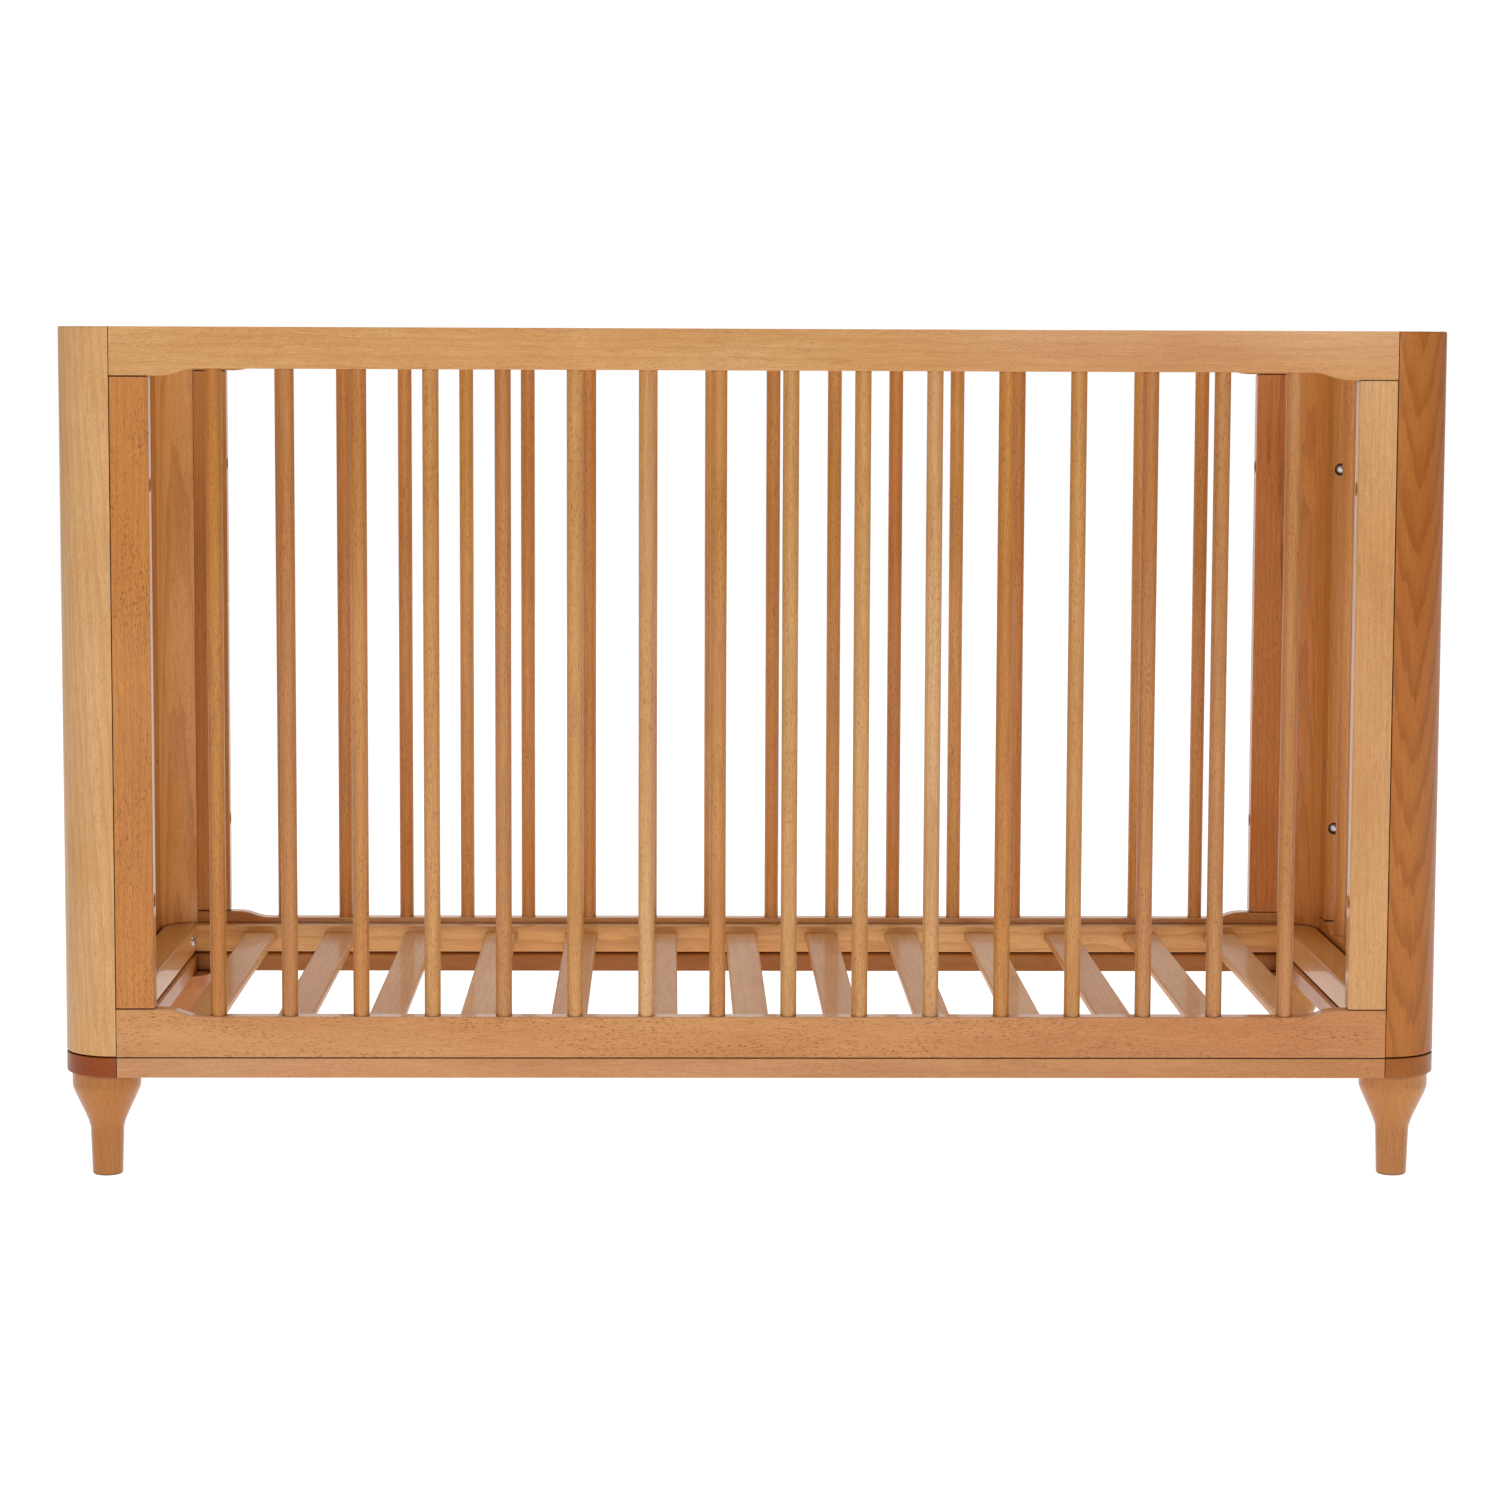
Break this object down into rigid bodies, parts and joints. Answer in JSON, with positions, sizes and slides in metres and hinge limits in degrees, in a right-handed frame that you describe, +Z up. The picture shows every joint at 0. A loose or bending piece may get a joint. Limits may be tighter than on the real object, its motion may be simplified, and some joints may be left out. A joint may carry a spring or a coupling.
{
  "type": "baby crib",
  "caption": "Free-standing beech crib with round spindles, quarter-round corner posts, turned feet and a slatted mattress base that sets at a low or a high level.",
  "frame": {"origin": "on the floor under the middle of the crib", "axes": "+X along the length towards the right end, +Y from the front to the back, +Z up"},
  "size_m": [1.45, 0.75, 0.892],
  "materials": {
    "beech_panels": "clear satin lacquer over natural beech, fine dark flecks along the grain",
    "beech_posts": "clear satin lacquer over natural beech with broad figure",
    "beech_spindles": "clear satin lacquer over turned beech",
    "beech_plinth": "clear satin lacquer over natural beech, slightly pinker",
    "beech_feet": "clear satin lacquer over turned beech",
    "beech_base": "clear gloss lacquer over pale beech",
    "beech_dowels": "plain unfinished beech, hidden",
    "zinc_steel": "bright zinc plate"
  },
  "bodies": {
    "crib_frame": {"back_bottom_rail": "beech_panels", "back_left_foot": "beech_feet", "back_left_plinth_block": "beech_plinth", "back_left_post": "beech_posts", "back_right_foot": "beech_feet", "back_right_plinth_block": "beech_plinth", "back_right_post": "beech_posts", "back_spindles": "beech_spindles", "back_stile_left": "beech_panels", "back_stile_right": "beech_panels", "back_top_rail": "beech_panels", "base_inserts": "zinc_steel", "foot_studs": "zinc_steel", "front_bottom_rail": "beech_panels", "front_left_foot": "beech_feet", "front_left_plinth_block": "beech_plinth", "front_left_post": "beech_posts", "front_right_foot": "beech_feet", "front_right_plinth_block": "beech_plinth", "front_right_post": "beech_posts", "front_spindles": "beech_spindles", "front_stile_left": "beech_panels", "front_stile_right": "beech_panels", "front_top_rail": "beech_panels", "left_bottom_rail": "beech_panels", "left_spindles": "beech_spindles", "left_stile_back": "beech_panels", "left_stile_front": "beech_panels", "left_top_rail": "beech_panels", "plinth_back_rail": "beech_plinth", "plinth_dowels": "beech_dowels", "plinth_front_rail": "beech_plinth", "plinth_left_rail": "beech_plinth", "plinth_right_rail": "beech_plinth", "plinth_screws": "zinc_steel", "right_bottom_rail": "beech_panels", "right_spindles": "beech_spindles", "right_stile_back": "beech_panels", "right_stile_front": "beech_panels", "right_top_rail": "beech_panels", "stile_bolt_inserts": "zinc_steel", "stile_bolts": "zinc_steel"},
    "mattress_base": {"base_back_rail": "beech_base", "base_bolts": "zinc_steel", "base_front_rail": "beech_base", "base_left_end": "beech_base", "base_right_end": "beech_base", "base_slat_01": "beech_base", "base_slat_02": "beech_base", "base_slat_03": "beech_base", "base_slat_04": "beech_base", "base_slat_05": "beech_base", "base_slat_06": "beech_base", "base_slat_07": "beech_base", "base_slat_08": "beech_base", "base_slat_09": "beech_base", "base_slat_10": "beech_base", "base_slat_11": "beech_base", "base_slat_12": "beech_base", "base_slat_13": "beech_base"}
  },
  "joints": [
    {"name": "base_height", "type": "slide", "parent": "crib_frame", "child": "mattress_base", "axis": [0, 0, 1], "range_m": [0, 0.218]}
  ]
}
